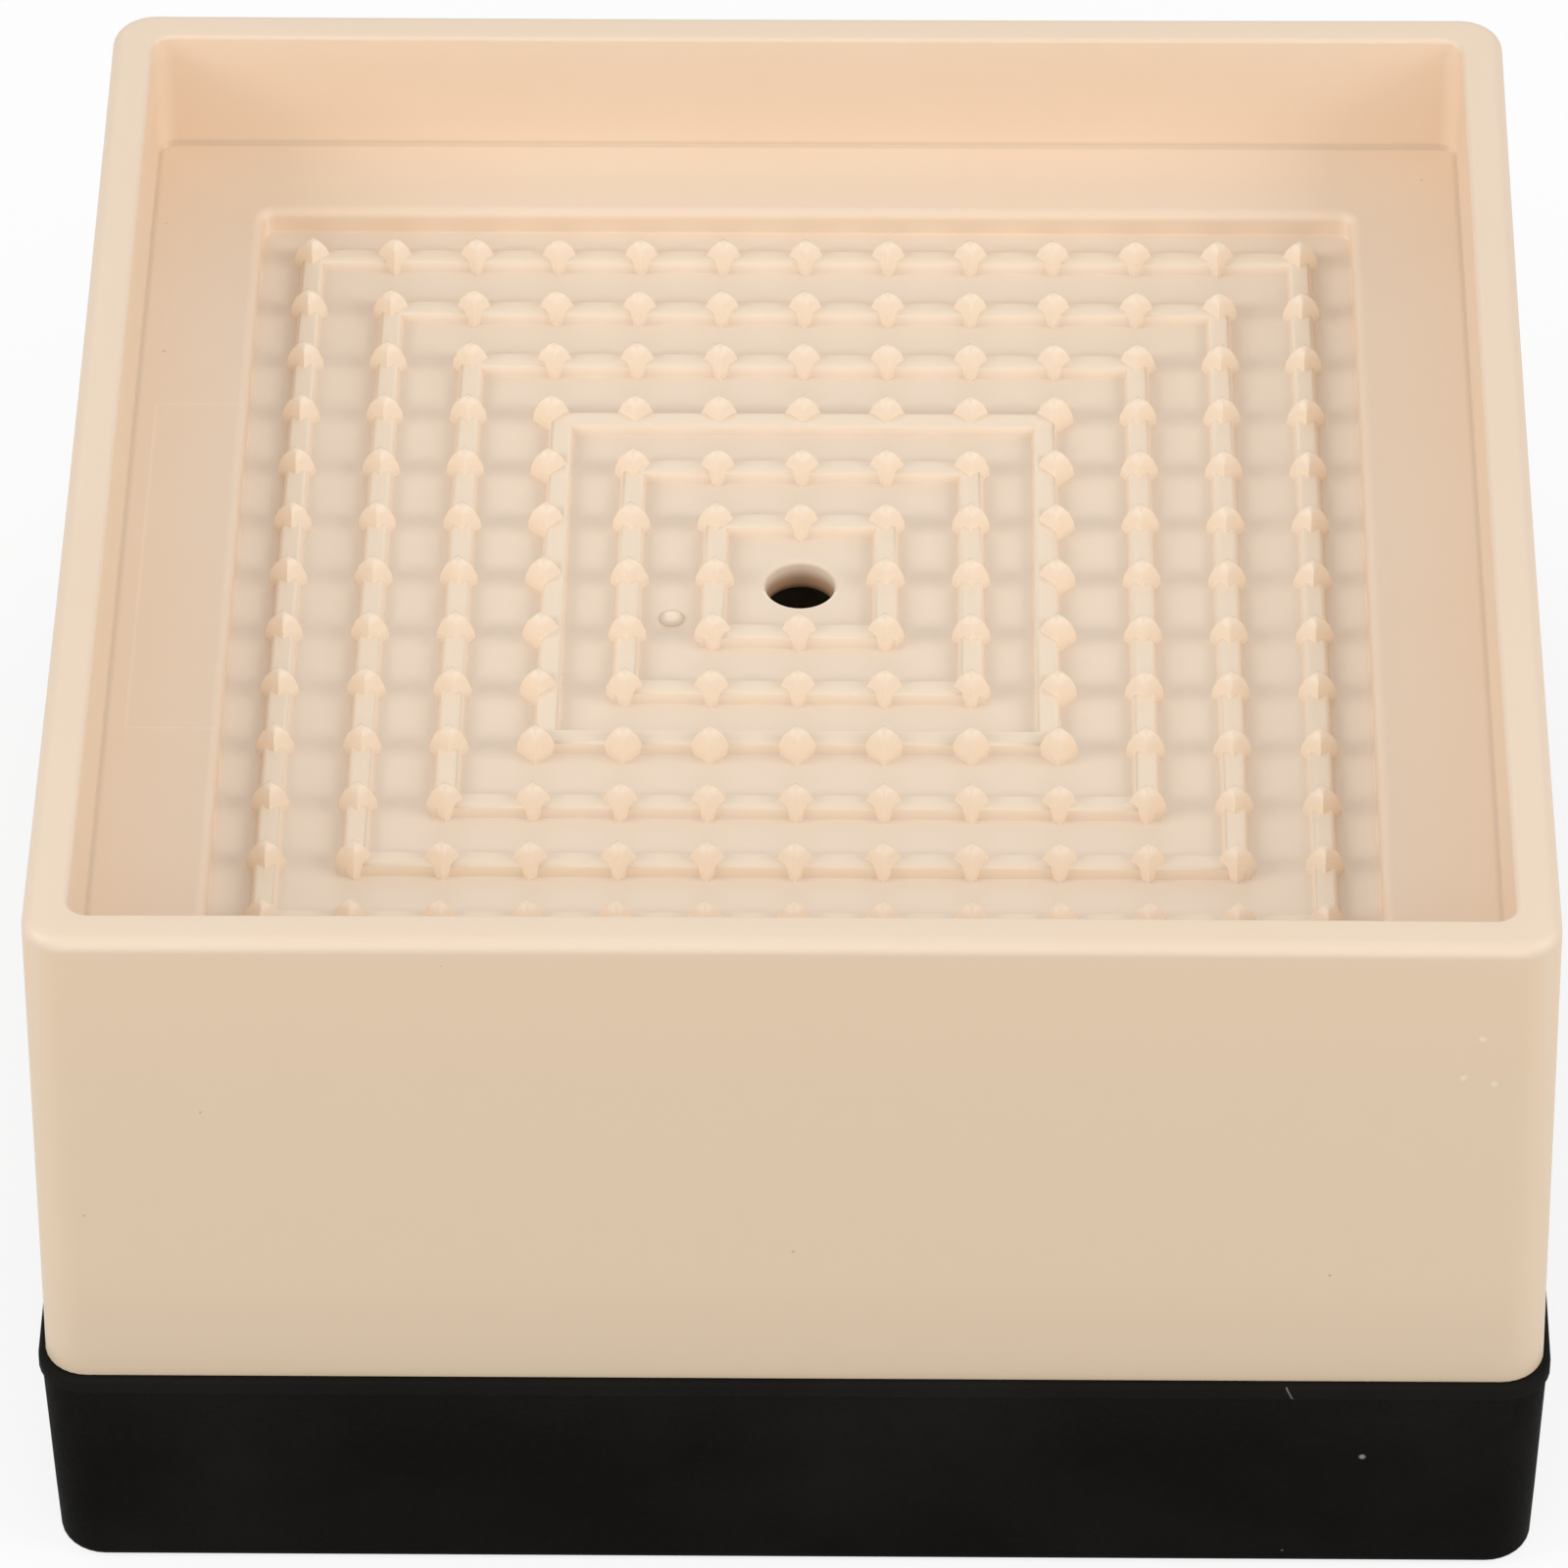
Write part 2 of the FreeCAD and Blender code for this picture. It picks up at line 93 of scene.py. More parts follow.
class RiserBodySizes(bpy.types.PropertyGroup):
    height: millimetres("Height", "Ground to the top of the rim", 56.5)
    top_width: millimetres("Rim width", "Outside width at the rim", 100.0)
    seam_width: millimetres("Seam width", "Outside width just above the rubber foot", 100.9)
    seam_level: millimetres("Seam level", "Ground to the seam between body and foot", 17.6)
    corner: millimetres("Corner radius", "Upright outer corners", 3.0)
    wall: millimetres("Wall", "Thickness of the rim", 2.95)
    inner_corner: millimetres("Inner corner", "Upright corners of the recess", 1.4)
    rim_outer_round: millimetres("Outer rim rounding", "Rounding of the rim's outer edge", 0.95)
    rim_inner_round: millimetres("Inner rim rounding", "Rounding of the rim's inner edge", 0.35)
    recess_depth: millimetres("Recess depth", "Rim down to the ledge", 9.7)
    pocket_width: millimetres("Pocket width", "Width of the grip pocket", 78.2)
    pocket_depth: millimetres("Pocket depth", "Ledge down to the grip floor", 1.9)
    pocket_corner: millimetres("Pocket corner", "Upright corners of the pocket", 0.9)
    ledge_round: millimetres("Ledge rounding", "Rounding where the ledge drops to the floor", 0.75)
    deck: millimetres("Deck thickness", "Thickness of the grip floor", 2.3)
    hole_width: millimetres("Hole width", "Diameter of the hole in the middle", 4.8)
    hole_round: millimetres("Hole rounding", "Rounding of the hole's upper edge", 0.35)
    bow: millimetres("Bow", "How far the rim's sides draw in at their middles", 0.12, high=1.0)
    skirt_width: millimetres("Skirt width", "Outside width of the skirt inside the foot", 97.7)
    sole: millimetres("Sole", "Ground to the bottom of the skirt", 4.0)
    stiffener: millimetres("Stiffener", "Thickness of the bars under the deck", 2.2)
    stiffener_spacing: millimetres("Stiffener spacing", "Between the two bars of a pair", 34.0)


class GripSizes(bpy.types.PropertyGroup):
    pitch: millimetres("Pitch", "Spacing of the studs both ways", 5.9)
    per_side: whole("Studs per side", "Studs along the outermost ring, an odd number", 13, 3, 31)
    stud_width: millimetres("Stud width", "Corner to corner across the foot of a stud", 2.75)
    stud_height: millimetres("Stud height", "Grip floor to the tip of a stud", 2.3)
    stud_fullness: number("Stud fullness", "1 is a diamond from above, 2 is round", 0.98, 0.5, 2.0)
    stud_dome: number("Stud dome", "Higher keeps the stud wide further up", 1.75, 1.0, 6.0)
    rib_foot: millimetres("Rib foot", "Width of a ring rib at the floor", 1.85)
    rib_crest: millimetres("Rib crest", "Width of a ring rib at its top", 1.25)
    rib_height: millimetres("Rib height", "Height of a ring rib", 0.9)
    rib_round: millimetres("Rib rounding", "Rounding along the top of a ring rib", 0.5)
    gate_width: millimetres("Gate mark width", "Diameter of the moulding gate's mark", 1.6)
    gate_height: millimetres("Gate mark height", "Height of the moulding gate's mark", 0.25)
    gate_left: millimetres("Gate mark, left", "The part's middle to the gate mark, leftwards", 8.8)
    gate_forward: millimetres("Gate mark, front", "The part's middle to the gate mark, forwards", 3.8)
    offset_ring: whole("Offset ring", "The ring, counted from outside, whose rib runs inside its studs",
                       4, 1, 15)
    ring_offset: millimetres("Ring offset", "How far that rib runs inside its studs", 0.7)


class FootSizes(bpy.types.PropertyGroup):
    height: millimetres("Height", "Ground to the top of the lip", 17.6)
    base_width: millimetres("Base width", "Outside width on the ground", 100.6)
    top_width: millimetres("Top width", "Outside width under the lip", 101.5)
    lip_width: millimetres("Lip width", "Outside width of the lip", 101.9)
    lip_height: millimetres("Lip height", "Height of the lip", 1.2)
    lip_round: millimetres("Lip rounding", "Rounding of the lip's upper edge", 0.35)
    base_round: millimetres("Base rounding", "Rounding of the lower edge", 0.8)
    corner: millimetres("Corner radius", "Upright outer corners", 3.2)
    wall: millimetres("Wall", "Thickness of the wall at the lip", 1.95)
    sole: millimetres("Sole", "Thickness of the sole", 4.0)
    groove: millimetres("Tread groove", "Width of a groove in the tread", 1.6)
    groove_depth: millimetres("Groove depth", "Depth of a groove in the tread", 1.0)
    groove_pitch: millimetres("Groove pitch", "One tread groove to the next", 8.0)
    groove_first: millimetres("First groove", "Middle of the foot to the first groove", 9.0)
    groove_count: whole("Grooves", "Square grooves in the tread", 5, 0, 12)


class RiserColours(bpy.types.PropertyGroup):
    beige: shade("Beige", "The moulded body", (239, 217, 193))
    beige_warm: shade("Warm beige", "Where the moulding is a little richer", (237, 211, 183))
    beige_outside: shade("Outer beige", "The outer walls", (242, 215, 185))
    # Painted light: the grip floor paler and the studs and ribs brighter than the rest of the moulding.
    beige_pocket_painted_light: shade("Pocket beige", "The floor between studs and ribs", (238, 219, 198))
    beige_grip_painted_light: shade("Grip beige", "Studs and ribs, where light comes in from all sides", (243, 224, 201))
    # Also the painted shade in the crease where the ledge meets the recess walls.
    speck_and_shade: shade("Speck", "Dark specks in the moulding", (150, 128, 104))
    beige_low: shade("Lower beige", "The outer walls below the deck", (240, 216, 186))
    # Painted shade down the hole.
    hole_shade_brown: shade("Hole brown", "Part way down the hole", (176, 122, 76))
    hole_shade_dark: shade("Hole dark", "The bottom of the hole", (24, 18, 14))
    # Also the painted highlight on the hole's front lip.
    dot: shade("Pale dot", "Pale flecks and the insert's witness line", (250, 232, 210))
    rubber: shade("Rubber", "The black foot", (12, 11, 9))
    dust: shade("Dust", "Pale dust on the rubber", (150, 146, 138))


class StageSettings(bpy.types.PropertyGroup):
    bounce: shade("Floor bounce", "How pale the floor is to the light it throws back", (165, 165, 165))
    ambient: number("Ambient", "Strength of the even light from all round", 0.54, 0.0, 10.0)
    side_light: watts("Side lamps", "Power of each side lamp", 2.5)
    low_light: watts("Low lamp", "Power of the low front lamp", 0.85)
    front_light: watts("Front lamp", "Power of the front lamp", 1.45)
    back_light: watts("Back lamp", "Power of the back lamp", 0.5)


def ledge_level(body):
    return body.height - body.recess_depth


def floor_level(body):
    """The level of the grip floor between the studs."""
    return ledge_level(body) - body.pocket_depth


# Node helpers


class Term:
    """A socket that takes part in Python arithmetic by adding Math nodes."""

    def __init__(self, nodes, socket):
        self.nodes = nodes
        self.socket = socket

    def math(self, operation, *others):
        settings = {"operation": operation}
        values = {0: self}
        values.update(enumerate(others, start=1))
        return self.nodes.add("ShaderNodeMath", settings, values).out(0)

    def __add__(self, other):
        return self.math("ADD", other)

    def __radd__(self, other):
        return self.math("ADD", other)

    def __sub__(self, other):
        return self.math("SUBTRACT", other)

    def __rsub__(self, other):
        return self.nodes.constant(other).math("SUBTRACT", self)

    def __mul__(self, other):
        return self.math("MULTIPLY", other)

    def __rmul__(self, other):
        return self.math("MULTIPLY", other)

    def __truediv__(self, other):
        return self.math("DIVIDE", other)

    def __rtruediv__(self, other):
        return self.nodes.constant(other).math("DIVIDE", self)

    def __pow__(self, other):
        return self.math("POWER", other)

    def __abs__(self):
        return self.math("ABSOLUTE")

    def __lt__(self, other):
        return self.math("LESS_THAN", other)

    def __gt__(self, other):
        return self.math("GREATER_THAN", other)


class Added:
    """A node that has just been made, with its sockets by name or number."""

    def __init__(self, nodes, node):
        self.nodes = nodes
        self.node = node

    def out(self, key):
        return Term(self.nodes, self.node.outputs[key])


class Nodes:
    """Adds nodes to a shader or geometry tree."""

    # The numbers that a Mix node gives its sockets when it mixes colours.
    MIX_FACTOR, MIX_FIRST, MIX_SECOND = 0, 6, 7
    MIX_RESULT = 2

    def __init__(self, tree):
        self.tree = tree

    def constant(self, value):
        """A value that the operators can start from."""
        return self.add("ShaderNodeMath", {"operation": "ADD"}, {0: value, 1: 0.0}).out(0)

    def add(self, kind, settings=None, values=None):
        node = self.tree.nodes.new(kind)
        for key, setting in (settings or {}).items():
            if key == "stops":
                self.set_stops(node.color_ramp, setting)
            else:
                setattr(node, key, setting)
        for key, value in (values or {}).items():
            socket = node.inputs[key]
            if isinstance(value, Term):
                self.tree.links.new(value.socket, socket)
            else:
                socket.default_value = value
        return Added(self, node)

    def set_stops(self, ramp, stops):
        while len(ramp.elements) < len(stops):
            ramp.elements.new(0.5)
        for element, (place, level) in zip(ramp.elements, stops):
            element.position = place
            element.color = (level, level, level, 1.0)

    def mix(self, factor, first, second):
        """A colour between two others."""
        values = {self.MIX_FACTOR: factor}
        for key, colour in ((self.MIX_FIRST, first), (self.MIX_SECOND, second)):
            values[key] = colour if isinstance(colour, Term) else (*colour, 1.0)
        return self.add("ShaderNodeMix", {"data_type": "RGBA"}, values).out(self.MIX_RESULT)

    def join(self, *terms):
        """The geometry of several terms as one."""
        joined = self.add("GeometryNodeJoinGeometry")
        for term in terms:
            self.tree.links.new(term.socket, joined.node.inputs[0])
        return joined.out("Geometry")


def new_material(name):
    material = bpy.data.materials.new(name)
    material.use_nodes = True
    nodes = Nodes(material.node_tree)
    surface = material.node_tree.nodes["Principled BSDF"]
    return material, nodes, surface


def connect(nodes, term, socket):
    nodes.tree.links.new(term.socket, socket)


# Mesh helpers


CORNER_STEPS = 8
SIDE_STEPS = 16
SMALLEST_CORNER = 0.2 * MM
SHARP_EDGE = math.radians(32)
SHARP_STUD_EDGE = math.radians(70)


def square_ring(half, corner, level, bow=0.0):
    """Points anticlockwise round a square, from the front of its right side, with round corners."""
    points = []
    flat = half - corner
    for turn in range(4):
        turned = Matrix.Rotation(turn * math.pi / 2, 3, "Z")
        for step in range(SIDE_STEPS):
            along = -flat + 2 * flat * step / SIDE_STEPS
            drawn = bow * (1 - (along / flat) ** 2)
            points.append(turned @ Vector((half - drawn, along, level)))
        for step in range(CORNER_STEPS):
            angle = math.pi / 2 * step / CORNER_STEPS
            place = (flat + corner * math.cos(angle), flat + corner * math.sin(angle), level)
            points.append(turned @ Vector(place))
    return points


def circle_ring(radius, level, centre=(0.0, 0.0)):
    """As many points as a square ring has, in the same directions, on a circle."""
    middle = Vector((*centre, level))
    around = square_ring(1.0, 0.05, 0.0)
    return [Vector((point.x, point.y, 0)).normalized() * radius + middle for point in around]


def arc(centre_half, centre_level, radius, start, end, steps=6):
    """Half widths and levels along a rounding, by angle in degrees from outwards to upwards."""
    places = []
    for step in range(steps + 1):
        angle = math.radians(start + (end - start) * step / steps)
        half = centre_half + radius * math.cos(angle)
        places.append((half, centre_level + radius * math.sin(angle)))
    return places


def mesh_from_rings(name, rings, closed):
    """A skin of quads through rings of equal length. An open one gets a flat cap at each end."""
    mesh = bmesh.new()
    rows = [[mesh.verts.new(point) for point in ring] for ring in rings]
    count = len(rows[0])
    pairs = list(zip(rows, rows[1:]))
    if closed:
        pairs.append((rows[-1], rows[0]))
    for lower, upper in pairs:
        for i in range(count):
            j = (i + 1) % count
            mesh.faces.new((lower[i], lower[j], upper[j], upper[i]))
    if not closed:
        mesh.faces.new(list(reversed(rows[0])))
        mesh.faces.new(rows[-1])
    bmesh.ops.recalc_face_normals(mesh, faces=mesh.faces)
    return object_from_bmesh(name, mesh)


def object_from_bmesh(name, mesh):
    data = bpy.data.meshes.new(name)
    mesh.to_mesh(data)
    mesh.free()
    data.shade_smooth()
    data.set_sharp_from_angle(angle=SHARP_EDGE)
    piece = bpy.data.objects.new(name, data)
    bpy.context.scene.collection.objects.link(piece)
    return piece


def finish_piece(piece, material, slot, *replaced):
    piece.data.materials.clear()
    piece.data.materials.append(material)
    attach(piece, "root")
    if replaced:
        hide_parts(*replaced)


# Material helpers


class Place:
    """Where a point of a surface lies: its position and the three coordinates of that."""

    def __init__(self, nodes):
        self.position = nodes.add("ShaderNodeTexCoord").out("Object")
        split = nodes.add("ShaderNodeSeparateXYZ", None, {0: self.position})
        self.x, self.y, self.z = split.out("X"), split.out("Y"), split.out("Z")

    def reach(self):
        """How far the point lies from the middle, across or forwards, whichever is more."""
        return abs(self.x).math("MAXIMUM", abs(self.y))


def noise(nodes, place, scale, detail, roughness=0.5):
    return nodes.add("ShaderNodeTexNoise", None,
                     {"Vector": place.position, "Scale": scale, "Detail": detail,
                      "Roughness": roughness}).out("Fac")


def ramp(nodes, value, *stops):
    """A value sent through grey stops, each a place and a level."""
    return nodes.add("ShaderNodeValToRGB", {"stops": stops}, {0: value}).out("Color")


def smooth_step(nodes, value, start, end):
    """0 at start and 1 at end, with a soft change between."""
    return nodes.add("ShaderNodeMapRange", {"interpolation_type": "SMOOTHSTEP"},
                     {0: value, 1: start, 2: end, 3: 0.0, 4: 1.0}).out(0)


def distance_from(nodes, place, point):
    return nodes.add("ShaderNodeVectorMath", {"operation": "DISTANCE"},
                     {0: place.position, 1: point}).out("Value")


def spot_mask(nodes, place, spots, softness):
    """1 inside small round spots: each is x, y, z and radius in millimetres."""
    total = None
    for x, y, z, radius in spots:
        gap = distance_from(nodes, place, (x * MM, y * MM, z * MM))
        inside = smooth_step(nodes, gap, radius * MM, radius * MM * softness)
        total = inside if total is None else total.math("MAXIMUM", inside)
    return total


def line_mask(nodes, coordinate, line, half_width):
    """1 on a thin line where a coordinate has a value, 0 away from it."""
    off_line = smooth_step(nodes, abs(coordinate - line * MM), 0.4 * half_width * MM, half_width * MM)
    return 1 - off_line


# The beige moulding

# Spots on the moulding, each x, y, z and radius in millimetres.
DARK_SPECKS = [
    (-22.6, -50.0, 54.6, 0.14), (0.05, -50.3, 29.4, 0.16), (35.7, -50.35, 27.5, 0.16),
    (-38.8, -50.2, 41.7, 0.16), (-46.9, -50.3, 32.4, 0.14), (-45.3, 23.0, 46.8, 0.15),
    (-46.0, 37.6, 46.8, 0.12), (44.4, 43.2, 46.8, 0.12),
]
PALE_DOTS = [(45.0, -50.05, 48.7, 0.36), (43.9, -50.1, 45.3, 0.34), (45.9, -50.1, 44.8, 0.34)]


def tint_zones(nodes, place, colour, colours, body):
    """A paler grip floor and brighter studs and ribs, both painted light, and richer outer walls, greener
    below the deck.
    """
    floor = floor_level(body)
    outer = body.top_width / 2
    reach = place.reach()
    pocket = reach < body.pocket_width / 2 - 0.2 * MM
    # Painted light: a paler copy of the beige on the grip floor.
    colour = nodes.mix(pocket * 0.9, colour, tuple(colours.beige_pocket_painted_light))
    # Painted light: the studs and ribs brighter than the floor between them.
    raised_painted_light = smooth_step(nodes, place.z, floor + 0.1 * MM, floor + 0.7 * MM)
    colour = nodes.mix(pocket * raised_painted_light, colour, tuple(colours.beige_grip_painted_light))
    outside = smooth_step(nodes, reach, outer - 1.0 * MM, outer - 0.4 * MM)
    on_rim = smooth_step(nodes, place.z, body.height - 1.5 * MM, body.height - 0.3 * MM)
    colour = nodes.mix(outside * (1 - on_rim), colour, tuple(colours.beige_outside))
    above_deck = smooth_step(nodes, place.z, floor, floor + 1.2 * MM)
    return nodes.mix(outside * (1 - above_deck), colour, tuple(colours.beige_low))


def paint_crease_shade(nodes, place, colour, colours, body):
    """Painted shade: a thin darker line where the ledge meets the recess walls."""
    inner = body.top_width / 2 - body.wall
    ledge = ledge_level(body)
    reach = place.reach()
    near_wall = smooth_step(nodes, reach, inner - 0.55 * MM, inner - 0.05 * MM)
    near_wall = near_wall * (reach < inner + 0.35 * MM)
    above = smooth_step(nodes, place.z, ledge + 0.1 * MM, ledge + 0.5 * MM)
    crease = near_wall * (1 - above) * (place.z > ledge - 0.3 * MM)
    return nodes.mix(crease * 0.22, colour, tuple(colours.speck_and_shade))


def paint_hole_shade(nodes, place, colour, colours, body):
    """Painted shade down the hole, brown, then black, with depth, for light that gets in through the
    moulding. The lip is pale: a painted highlight on its front.
    """
    floor = floor_level(body)
    hole = body.hole_width / 2
    from_middle = (place.x * place.x + place.y * place.y).math("SQRT")
    in_hole = from_middle < hole + 0.2 * MM
    # Painted shade: brown part way down the hole, black at its bottom.
    brown = in_hole * (1 - smooth_step(nodes, place.z, floor - 1.7 * MM, floor - 0.4 * MM))
    black = in_hole * (1 - smooth_step(nodes, place.z, floor - 2.6 * MM, floor - 1.7 * MM))
    colour = nodes.mix(brown * 0.75, colour, tuple(colours.hole_shade_brown))
    colour = nodes.mix(black * 0.95, colour, tuple(colours.hole_shade_dark))
    # Painted highlight on the front of the hole's rounded lip.
    round_edge = (from_middle < hole + body.hole_round) * (from_middle > hole - 0.02 * MM)
    lip = round_edge * (place.z > floor - 0.3 * MM) * (place.y < -0.8 * MM)
    return nodes.mix(lip * 0.9, colour, tuple(colours.dot))


def tint_gate(nodes, place, colour, colours, body, grip):
    """The gate mark has a pale middle and a darker edge."""
    radius = grip.gate_width / 2
    gate = (-grip.gate_left, -grip.gate_forward, floor_level(body) + 0.1 * MM)
    gap = distance_from(nodes, place, gate)
    edge = smooth_step(nodes, gap, radius - 0.35 * MM, radius - 0.14 * MM)
    edge = edge * smooth_step(nodes, gap, radius + 0.2 * MM, radius + 0.04 * MM)
    middle = smooth_step(nodes, gap, radius - 0.2 * MM, radius - 0.4 * MM)
    colour = nodes.mix(edge * 0.22, colour, tuple(colours.speck_and_shade))
    return nodes.mix(middle * 0.5, colour, tuple(colours.dot))


def insert_mark(nodes, place, body):
    """1 on the faint rectangle that an insert in the mould left on the left ledge."""
    # In millimetres, as the half widths of the lines are.
    left, front, back = -45.5, -17.6, 17.1
    margin = 0.1
    pocket_edge = -body.pocket_width / 2
    ledge = ledge_level(body)
    side = line_mask(nodes, place.x, left, 0.16)
    side = side * (place.y > (front - margin) * MM) * (place.y < (back + margin) * MM)
    ends = line_mask(nodes, place.y, back, 0.14).math("MAXIMUM", line_mask(nodes, place.y, front, 0.14))
    ends = ends * (place.x > (left - margin) * MM)
    ends = ends * smooth_step(nodes, place.x, pocket_edge + 0.1 * MM, pocket_edge - 0.3 * MM)
    on_ledge = (place.z > ledge - 0.2 * MM) * (place.z < ledge + 0.1 * MM)
    return side.math("MAXIMUM", ends) * on_ledge


def moulded_plastic(colours, body, grip):
    """Satin beige moulding: soft variation of tone, fine grain, a few specks, painted light on the grip,
    painted shade in the crease and hole, a painted highlight on the hole's lip.
    """
    material, nodes, surface = new_material(MOULDING)
    place = Place(nodes)
    tone = ramp(nodes, noise(nodes, place, scale=45.0, detail=3.0), (0.35, 0.0), (0.7, 1.0))
    colour = nodes.mix(tone * 0.3, tuple(colours.beige), tuple(colours.beige_warm))
    colour = tint_zones(nodes, place, colour, colours, body)
    colour = paint_crease_shade(nodes, place, colour, colours, body)
    colour = paint_hole_shade(nodes, place, colour, colours, body)
    colour = tint_gate(nodes, place, colour, colours, body, grip)
    specks = spot_mask(nodes, place, DARK_SPECKS, 0.4)
    colour = nodes.mix(specks * 0.4, colour, tuple(colours.speck_and_shade))
    dots = spot_mask(nodes, place, PALE_DOTS, 0.3)
    colour = nodes.mix(dots * 0.95, colour, tuple(colours.dot))
    witness = insert_mark(nodes, place, body)
    colour = nodes.mix(witness * 0.28, colour, tuple(colours.dot))
    connect(nodes, colour, surface.inputs["Base Color"])

    fine = noise(nodes, place, scale=900.0, detail=4.0, roughness=0.6)
    connect(nodes, 0.36 + fine * 0.12, surface.inputs["Roughness"])
    wavy = noise(nodes, place, scale=60.0, detail=2.0)
    relief = fine * 0.06 + wavy * 0.5 + dots * 0.25 + witness * 0.1
    bump = nodes.add("ShaderNodeBump", None, {"Strength": 0.08, "Distance": 0.6 * MM, "Height": relief})
    connect(nodes, bump.out("Normal"), surface.inputs["Normal"])
    surface.inputs["Specular IOR Level"].default_value = 0.45
    return material


# The black rubber

# Loose grains on the front of the foot, each x, y, z and radius in millimetres.
PALE_CRUMBS = [(38.4, -50.7, 10.7, 0.32), (-44.0, -50.7, 6.0, 0.12), (-41.5, -50.8, 12.4, 0.1)]


def rubber_dust(nodes, place):
    """1 on scattered grains of different sizes: few cells of the pattern hold one."""
    cells = nodes.add("ShaderNodeTexVoronoi", None,
                      {"Vector": place.position, "Scale": 420.0, "Randomness": 1.0})
    random = nodes.add("ShaderNodeSeparateColor", None, {0: cells.out("Color")})
    chance, size = random.out(0), random.out(1)
    return smooth_step(nodes, cells.out("Distance"), 0.02 + size * 0.05, 0.0) * (chance > 0.93)


def rubber_fibre(nodes, place):
    """1 on a short slanting fibre near the right end of the foot's front lip."""
    middle_x, middle_z, slant = 33.3, 17.0, 0.42
    low, high = 16.3 * MM, 17.5 * MM
    upright = place.x + (place.z - middle_z * MM) * slant
    fibre = line_mask(nodes, upright, middle_x, 0.08)
    return fibre * (place.z > low) * (place.z < high) * (place.y < 0.0)


def black_rubber(colours, foot):
    """Matt black rubber with fine pale dust, a little paler on the lip."""
    material, nodes, surface = new_material(RUBBER)
    place = Place(nodes)
    dust = rubber_dust(nodes, place)
    film = ramp(nodes, noise(nodes, place, scale=60.0, detail=5.0), (0.45, 0.0), (0.8, 1.0))
    cover = (dust * 0.8 + film * 0.02).math("MINIMUM", 1.0)
    colour = nodes.mix(cover, tuple(colours.rubber), tuple(colours.dust))
    on_lip = place.z > foot.height - foot.lip_height + 0.1 * MM
    colour = nodes.mix(on_lip * 0.018, colour, tuple(colours.dust))
    colour = nodes.mix(rubber_fibre(nodes, place) * 0.6, colour, tuple(colours.dust))
    colour = nodes.mix(spot_mask(nodes, place, PALE_CRUMBS, 0.4), colour, tuple(colours.dust))
    connect(nodes, colour, surface.inputs["Base Color"])

    grain = noise(nodes, place, scale=2500.0, detail=3.0)
    connect(nodes, 0.62 + grain * 0.2, surface.inputs["Roughness"])
    relief = grain + dust * 2.0
    bump = nodes.add("ShaderNodeBump", None, {"Strength": 0.25, "Distance": 0.1 * MM, "Height": relief})
    connect(nodes, bump.out("Normal"), surface.inputs["Normal"])
    surface.inputs["Specular IOR Level"].default_value = 0.05
    return material


# The body


def body_rings(s):
    """The section of the moulding, from the hole round the outside and back under the deck."""
    floor = floor_level(s)
    ledge = ledge_level(s)
    under_deck = floor - s.deck
    inner = s.top_width / 2 - s.wall
    rings = []

    def square(half, level, corner, bow=0.0):
        rings.append(square_ring(half, max(corner, SMALLEST_CORNER), level, bow))

    # Hole and grip floor.
    hole = s.hole_width / 2
    surround = 1.6 * MM
    rings.append(circle_ring(hole, under_deck))
    for radius, level in arc(hole + s.hole_round, floor - s.hole_round, s.hole_round, 180, 90, 4):
        rings.append(circle_ring(radius, level))
    rings.append(circle_ring(hole + surround, floor))

    # Grip floor out to the pocket's wall, which rounds over on to the ledge.
    pocket = s.pocket_width / 2
    halfway, halfway_corner = pocket * 0.5, 0.6 * MM
    tuck = 0.15 * MM
    square(halfway, floor, halfway_corner)
    for half, level in arc(pocket - tuck, floor + tuck, tuck, -90, 0, 3):
        square(half, level, s.pocket_corner - (pocket - half))
    for half, level in arc(pocket + s.ledge_round, ledge - s.ledge_round, s.ledge_round, 180, 90):
        square(half, level, s.pocket_corner + (half - pocket))

    # Ledge and inner wall, which bows in as it rises.
    root = 0.12 * MM
    for half, level in arc(inner - root, ledge + root, root, -90, 0, 4):
        square(half, level, s.inner_corner - (inner - half))
    inner_rise = s.recess_depth - s.rim_inner_round
    for rise in (0.25, 0.5, 0.75):
        square(inner, ledge + inner_rise * rise, s.inner_corner, s.bow * rise)

    # Rim, and the outer wall down to the seam.
    inner_round, outer_round = s.rim_inner_round, s.rim_outer_round
    for half, level in arc(inner + inner_round, s.height - inner_round, inner_round, 180, 90, 5):
        square(half, level, s.inner_corner + (half - inner), s.bow)
    top = s.top_width / 2
    for half, level in arc(top - outer_round, s.height - outer_round, outer_round, 90, 0, 8):
        square(half, level, s.corner - (top - half), s.bow)
    seam = s.seam_width / 2
    seam_edge = 0.2 * MM
    for rise in (0.75, 0.5, 0.25):
        level = s.seam_level + (s.height - outer_round - s.seam_level) * rise
        square(seam + (top - seam) * rise, level, s.corner, s.bow * rise)
    for half, level in arc(seam - seam_edge, s.seam_level + seam_edge, seam_edge, 0, -90, 3):
        square(half, level, s.corner - (seam - half))

    # Shoulder, skirt and hollow underside.
    skirt = s.skirt_width / 2
    square(skirt, s.seam_level, s.corner)
    square(skirt, s.sole, s.corner)
    square(inner, s.sole, s.inner_corner)
    square(inner, under_deck, s.inner_corner)
    square(halfway, under_deck, halfway_corner)
    return rings


